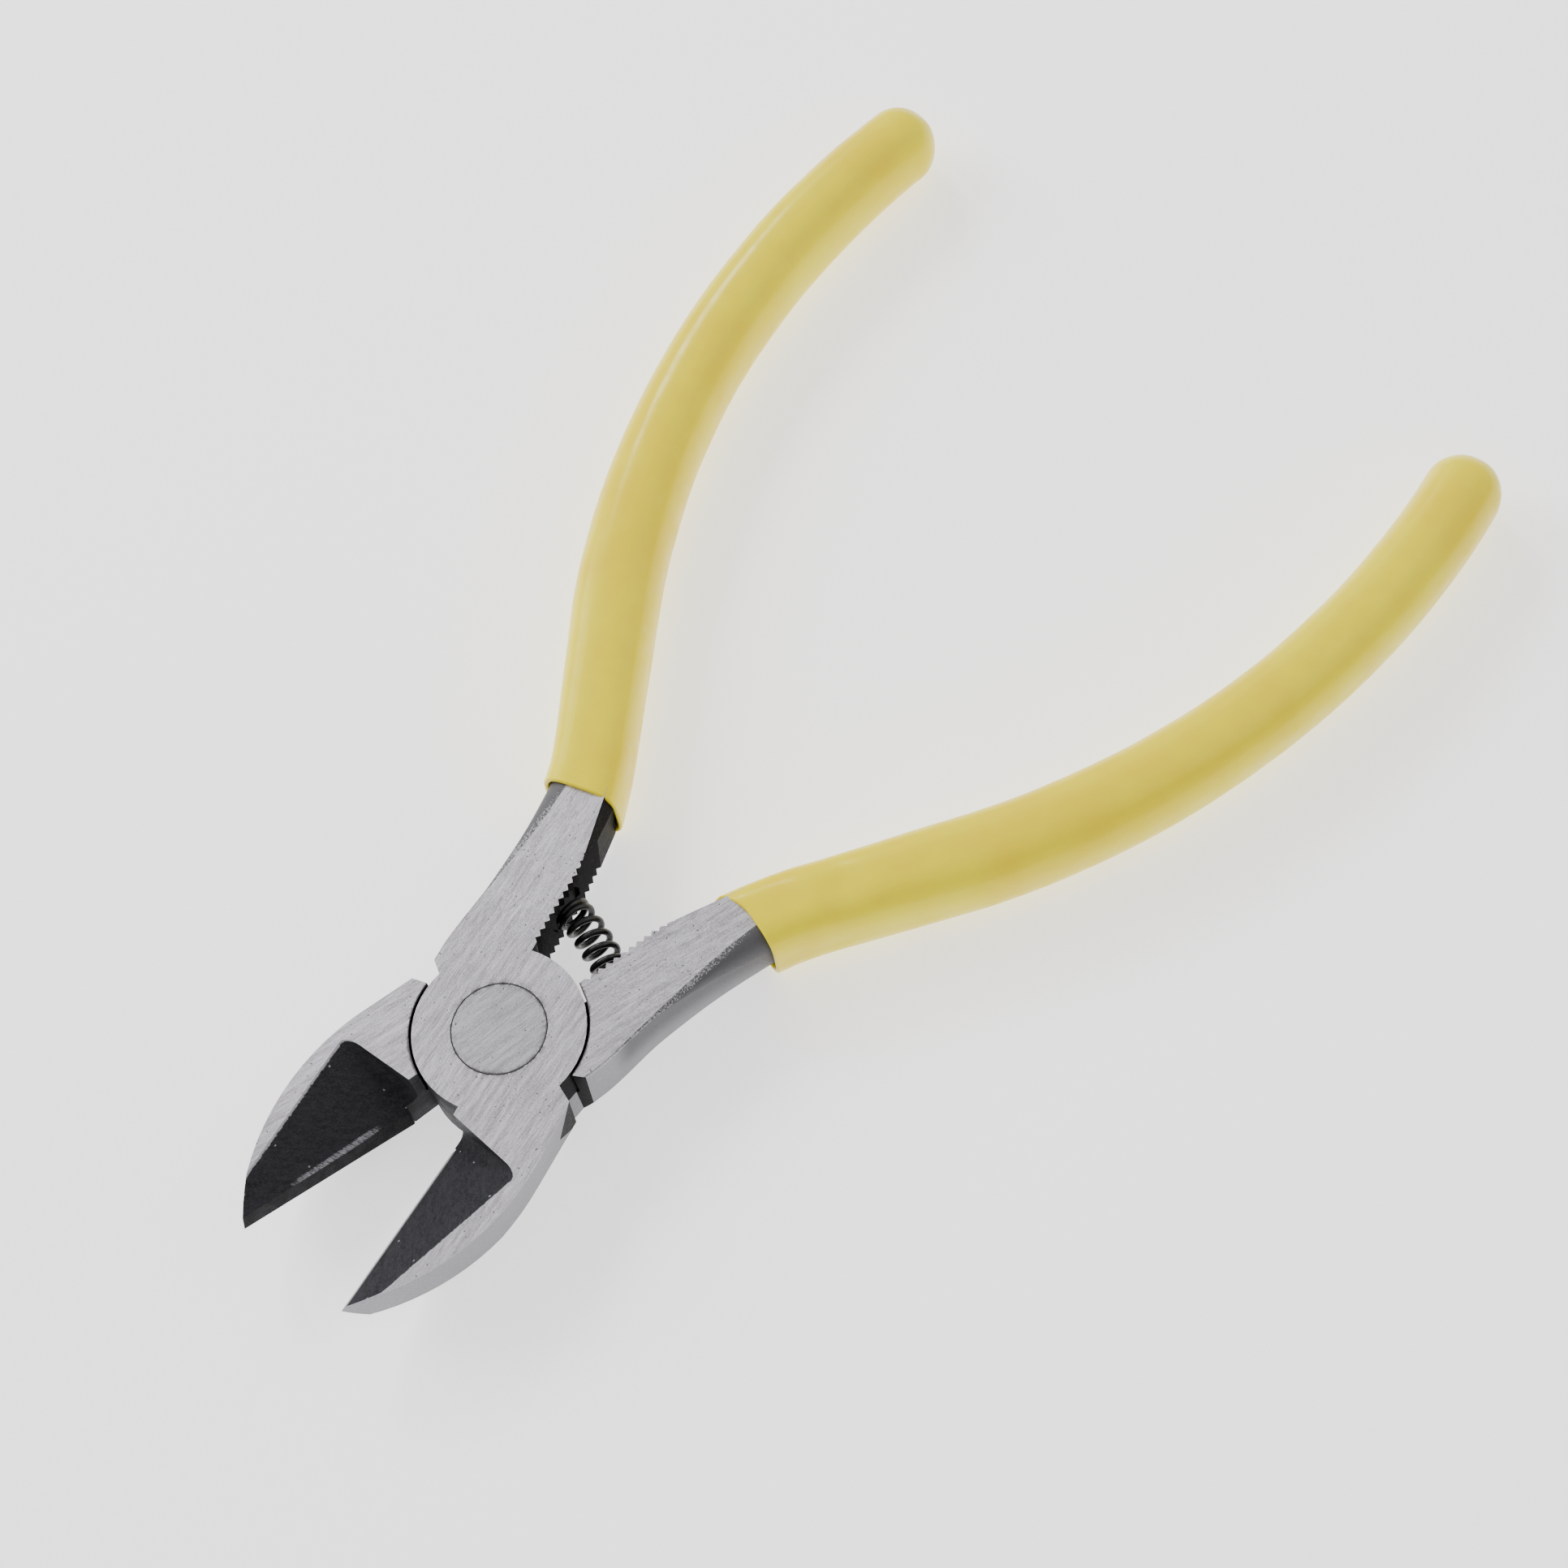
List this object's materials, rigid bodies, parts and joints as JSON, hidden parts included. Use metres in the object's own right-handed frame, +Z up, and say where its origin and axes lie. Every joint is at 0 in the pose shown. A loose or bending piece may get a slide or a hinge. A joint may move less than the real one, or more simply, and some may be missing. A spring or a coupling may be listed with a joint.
{
  "type": "diagonal side cutting pliers",
  "caption": "Small spring-opened diagonal side cutters with a flush riveted lap joint and dipped vinyl grips, for jewellery making.",
  "frame": {"origin": "centre of the flush rivet's lower head, on the lower face of the lap joint that the tool lies on", "axes": "+Z up along the rivet, +X from the rivet to the jaw tips, +Y to the side of the upper lever's jaw; the tool is open at rest"},
  "size_m": [0.1233, 0.075, 0.008],
  "materials": {
    "ground_steel": "ground, fine brushed lines",
    "rivet_steel": "ground flush",
    "spring_steel": "black oiled wire",
    "yellow_vinyl": "glossy dipped vinyl"
  },
  "bodies": {
    "lower_half": {"lower_lever": "ground_steel", "lower_grip": "yellow_vinyl", "pivot_rivet": "rivet_steel", "return_spring": "spring_steel"},
    "upper_half": {"upper_lever": "ground_steel", "upper_grip": "yellow_vinyl"}
  },
  "joints": [
    {"name": "jaw_pivot", "type": "hinge", "parent": "lower_half", "child": "upper_half", "pos_m": [0, 0, 0], "axis": [0, 0, 1], "range_deg": [-24.3, 8], "stiffness_Nm_per_rad": 0.3, "deforming": ["return_spring"]}
  ]
}
